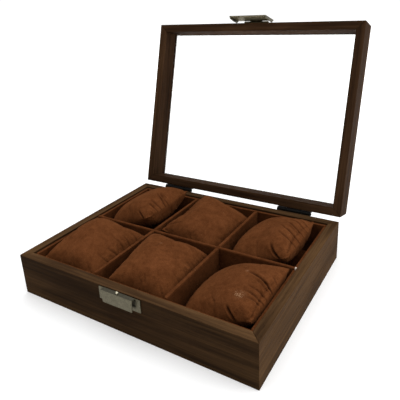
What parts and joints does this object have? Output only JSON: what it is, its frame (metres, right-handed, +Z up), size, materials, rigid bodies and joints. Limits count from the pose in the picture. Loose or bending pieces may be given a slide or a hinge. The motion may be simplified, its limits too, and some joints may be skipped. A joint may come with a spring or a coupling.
{
  "type": "watch box",
  "caption": "Low wooden watch box with a glazed hinged lid standing open, suede-lined slots each holding a loose pillow, and a brass catch and hasp on the front.",
  "frame": {"origin": "centre of the underside of the lower box, on the surface it stands on", "axes": "+Z up, +X to the right along the long front, +Y from the front with the catch to the back with the hinges"},
  "size_m": [0.255, 0.2947, 0.2508],
  "materials": {
    "walnut": "satin dark walnut veneer",
    "bottom_board": "raw fibreboard",
    "felt": "short dark felt",
    "suede_boards": "rust brown microsuede over card",
    "suede_pillows": "rust brown microsuede",
    "black_steel": "black lacquered steel",
    "antique_brass": "antiqued, grey-green",
    "clear_glass": "clear polished"
  },
  "bodies": {
    "case": {"wall_front": "walnut", "wall_back": "walnut", "wall_left": "walnut", "wall_right": "walnut", "bottom_panel": "bottom_board", "base_felt": "felt", "floor_card": "suede_boards", "liner_front": "suede_boards", "liner_back": "suede_boards", "liner_left": "suede_boards", "liner_right": "suede_boards", "divider_long": "suede_boards", "divider_cross_left": "suede_boards", "divider_cross_right": "suede_boards", "hinge_leaf_box_left": "black_steel", "hinge_leaf_box_right": "black_steel", "hinge_pin_left": "black_steel", "hinge_pin_right": "black_steel", "hinge_screws_box": "black_steel", "catch_plate": "antique_brass", "catch_nub": "antique_brass", "catch_screws": "antique_brass"},
    "lid": {"lid_rail_front": "walnut", "lid_rail_back": "walnut", "lid_rail_left": "walnut", "lid_rail_right": "walnut", "glass_pane": "clear_glass", "hinge_leaf_lid_left": "black_steel", "hinge_leaf_lid_right": "black_steel", "hinge_screws_lid": "black_steel", "hasp_plate": "antique_brass", "hasp_pin": "antique_brass", "hasp_screws": "antique_brass"},
    "flap": {"hasp_flap": "antique_brass"},
    "pillow_front_left": {"pillow_front_left": "suede_pillows"},
    "pillow_front_middle": {"pillow_front_middle": "suede_pillows"},
    "pillow_front_right": {"pillow_front_right": "suede_pillows"},
    "pillow_back_left": {"pillow_back_left": "suede_pillows"},
    "pillow_back_middle": {"pillow_back_middle": "suede_pillows"},
    "pillow_back_right": {"pillow_back_right": "suede_pillows"}
  },
  "joints": [
    {"name": "lid_hinge", "type": "hinge", "parent": "case", "child": "lid", "pos_m": [0, 0.105, 0.0432], "axis": [-1, 0, 0], "range_deg": [-106, 0]},
    {"name": "hasp_hinge", "type": "hinge", "parent": "lid", "child": "flap", "pos_m": [0, 0.17714, 0.24108], "axis": [-1, 0, 0], "range_deg": [0, 95]},
    {"name": "pillow_front_left_lift", "type": "slide", "parent": "case", "child": "pillow_front_left", "axis": [0, 0, 1], "range_m": [0, 0.06]},
    {"name": "pillow_front_middle_lift", "type": "slide", "parent": "case", "child": "pillow_front_middle", "axis": [0, 0, 1], "range_m": [0, 0.06]},
    {"name": "pillow_front_right_lift", "type": "slide", "parent": "case", "child": "pillow_front_right", "axis": [0, 0, 1], "range_m": [0, 0.06]},
    {"name": "pillow_back_left_lift", "type": "slide", "parent": "case", "child": "pillow_back_left", "axis": [0, 0, 1], "range_m": [0, 0.06]},
    {"name": "pillow_back_middle_lift", "type": "slide", "parent": "case", "child": "pillow_back_middle", "axis": [0, 0, 1], "range_m": [0, 0.06]},
    {"name": "pillow_back_right_lift", "type": "slide", "parent": "case", "child": "pillow_back_right", "axis": [0, 0, 1], "range_m": [0, 0.06]}
  ]
}
